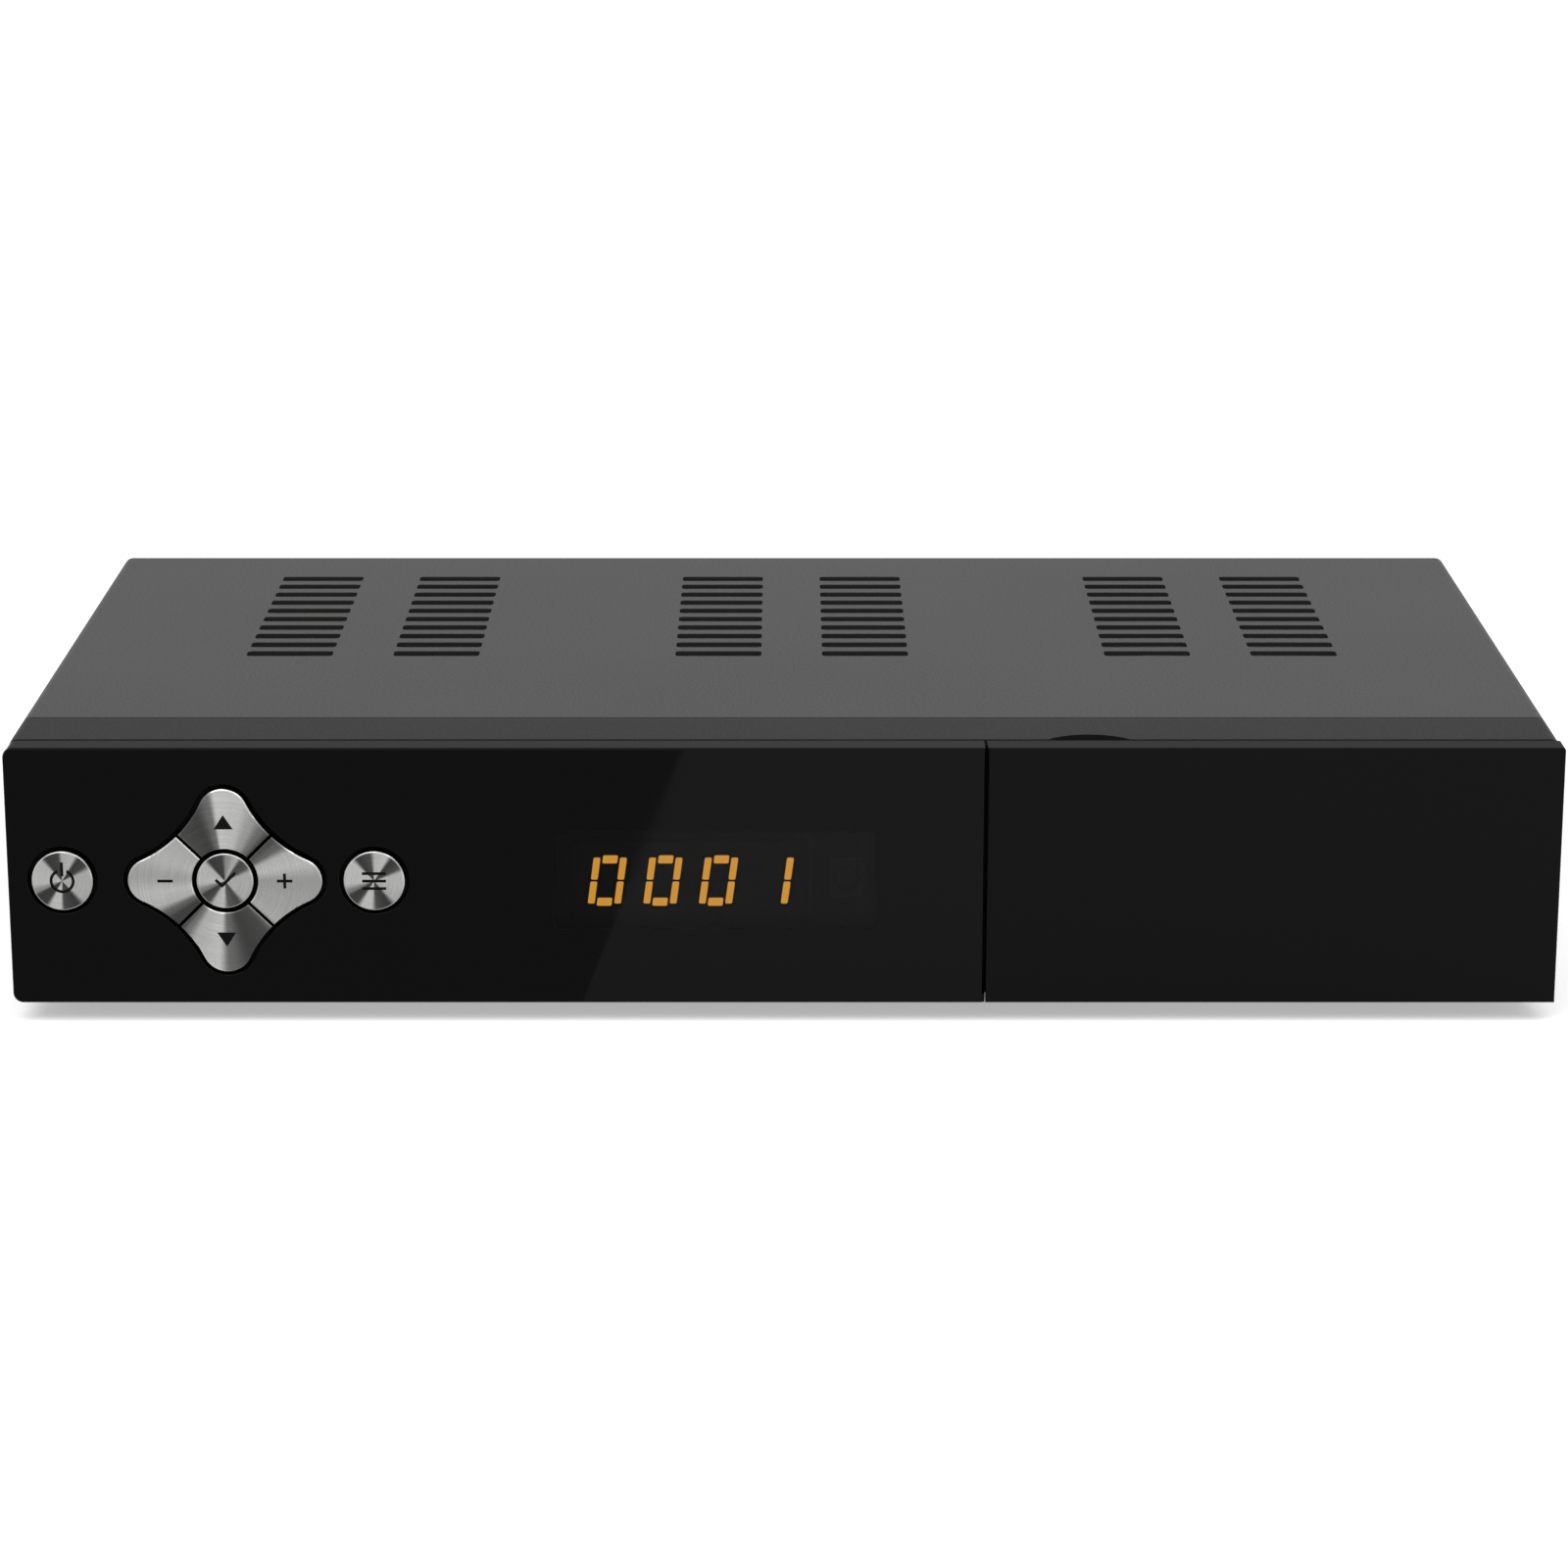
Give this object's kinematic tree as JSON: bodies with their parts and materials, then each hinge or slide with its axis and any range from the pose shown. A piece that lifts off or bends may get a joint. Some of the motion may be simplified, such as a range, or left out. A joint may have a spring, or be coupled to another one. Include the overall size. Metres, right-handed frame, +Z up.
{
  "type": "satellite tv receiver",
  "caption": "Low set-top satellite receiver: vented steel case, glossy front with key pad, lit digits and drop-down flap, rear sockets and switch.",
  "frame": {"origin": "on the surface it stands on, under the middle of the whole's outline", "axes": "+X to the right seen from the front, +Y to the back, +Z up"},
  "size_m": [0.26, 0.157, 0.048],
  "materials": {
    "cover_paint": "fine satin powder coat",
    "zinc_steel": "zinc-plated sheet",
    "panel_steel": "satin paint",
    "foot_rubber": "matte",
    "frame_plastic": "fine texture",
    "plate_gloss": "piano gloss",
    "smoked_window": "smoked, polished",
    "flap_gloss": "piano gloss",
    "bright_steel": "bright plated",
    "black_plastic": "moulded",
    "circuit_board": "solder resist",
    "display_body": "matte",
    "lit_amber": "lit diffuser",
    "eye_plastic": "dark red, clear",
    "white_plastic": "moulded",
    "ribbon_plastic": "flat cable",
    "cable_yellow": "insulation",
    "chip_plastic": "epoxy",
    "sink_aluminium": "extruded",
    "capacitor_sleeve": "shrink sleeve",
    "tinned_steel": "tinned sheet",
    "nickel_plate": "nickel plate",
    "insulator_plastic": "moulded",
    "socket_steel": "nickel-plated shell",
    "reader_steel": "stamped",
    "supply_board": "paper phenolic",
    "transformer_tape": "polyester tape",
    "ferrite": "wound core",
    "fuse_ceramic": "ceramic",
    "inlet_plastic": "moulded",
    "rocker_plastic": "moulded",
    "lead_brown": "insulation",
    "black_screw": "black zinc",
    "power_key_metal": "spun, bright edge",
    "menu_key_metal": "spun, bright edge",
    "ok_key_metal": "spun, bright edge",
    "pad_key_metal": "radially brushed, bright edge",
    "plunger_plastic": "moulded"
  },
  "bodies": {
    "case": {"top_cover": "cover_paint", "base_tray": "zinc_steel", "rear_panel": "panel_steel", "rubber_feet": "foot_rubber", "front_frame": "frame_plastic", "front_plate": "plate_gloss", "display_window": "smoked_window", "catch_plates": "bright_steel", "tact_switches": "black_plastic", "front_board": "circuit_board", "display_module": "display_body", "lit_segments": "lit_amber", "infrared_eye": "eye_plastic", "board_headers": "white_plastic", "front_ribbon": "ribbon_plastic", "power_cable": "cable_yellow", "main_board": "circuit_board", "logic_chips": "chip_plastic", "processor_heat_sink": "sink_aluminium", "main_capacitors": "capacitor_sleeve", "tuner_can": "tinned_steel", "lnb_connectors": "nickel_plate", "lnb_nuts": "nickel_plate", "jack_insulators": "insulator_plastic", "phono_block": "black_plastic", "phono_sleeves": "nickel_plate", "hdmi_socket": "socket_steel", "scart_socket": "black_plastic", "usb_socket": "socket_steel", "card_reader": "reader_steel", "psu_board": "supply_board", "psu_transformer": "transformer_tape", "psu_capacitors": "capacitor_sleeve", "psu_choke": "ferrite", "psu_heat_sink": "sink_aluminium", "mains_fuse": "fuse_ceramic", "ac_inlet": "inlet_plastic", "power_switch": "black_plastic", "mains_leads": "lead_brown", "cover_screws": "black_screw", "chassis_screws": "bright_steel", "board_screws": "bright_steel"},
    "flap": {"flap_door": "flap_gloss", "flap_hinge_rod": "bright_steel", "flap_magnets": "bright_steel"},
    "power_key_body": {"power_key": "power_key_metal", "power_key_plunger": "plunger_plastic"},
    "menu_key_body": {"menu_key": "menu_key_metal", "menu_key_plunger": "plunger_plastic"},
    "ok_key_body": {"ok_key": "ok_key_metal", "ok_key_plunger": "plunger_plastic"},
    "channel_up_key_body": {"channel_up_key": "pad_key_metal", "channel_up_key_plunger": "plunger_plastic"},
    "channel_down_key_body": {"channel_down_key": "pad_key_metal", "channel_down_key_plunger": "plunger_plastic"},
    "volume_up_key_body": {"volume_up_key": "pad_key_metal", "volume_up_key_plunger": "plunger_plastic"},
    "volume_down_key_body": {"volume_down_key": "pad_key_metal", "volume_down_key_plunger": "plunger_plastic"},
    "rocker": {"power_rocker": "rocker_plastic"}
  },
  "joints": [
    {"name": "flap_hinge", "type": "hinge", "parent": "case", "child": "flap", "pos_m": [0.08198, -0.07555, 0.00595], "axis": [1, 0, 0], "range_deg": [0, 90]},
    {"name": "power_key_press", "type": "slide", "parent": "case", "child": "power_key_body", "axis": [0, 1, 0], "range_m": [0, 0.0005], "stiffness_N_per_m": 1500, "springref_m": -0.0005},
    {"name": "menu_key_press", "type": "slide", "parent": "case", "child": "menu_key_body", "axis": [0, 1, 0], "range_m": [0, 0.0005], "stiffness_N_per_m": 1500, "springref_m": -0.0005},
    {"name": "ok_key_press", "type": "slide", "parent": "case", "child": "ok_key_body", "axis": [0, 1, 0], "range_m": [0, 0.0005], "stiffness_N_per_m": 1500, "springref_m": -0.0005},
    {"name": "channel_up_key_press", "type": "slide", "parent": "case", "child": "channel_up_key_body", "axis": [0, 1, 0], "range_m": [0, 0.0005], "stiffness_N_per_m": 1500, "springref_m": -0.0005},
    {"name": "channel_down_key_press", "type": "slide", "parent": "case", "child": "channel_down_key_body", "axis": [0, 1, 0], "range_m": [0, 0.0005], "stiffness_N_per_m": 1500, "springref_m": -0.0005},
    {"name": "volume_up_key_press", "type": "slide", "parent": "case", "child": "volume_up_key_body", "axis": [0, 1, 0], "range_m": [0, 0.0005], "stiffness_N_per_m": 1500, "springref_m": -0.0005},
    {"name": "volume_down_key_press", "type": "slide", "parent": "case", "child": "volume_down_key_body", "axis": [0, 1, 0], "range_m": [0, 0.0005], "stiffness_N_per_m": 1500, "springref_m": -0.0005},
    {"name": "rocker_throw", "type": "hinge", "parent": "case", "child": "rocker", "pos_m": [-0.076, 0.066, 0.0255], "axis": [-1, 0, 0], "range_deg": [0, 24]}
  ]
}
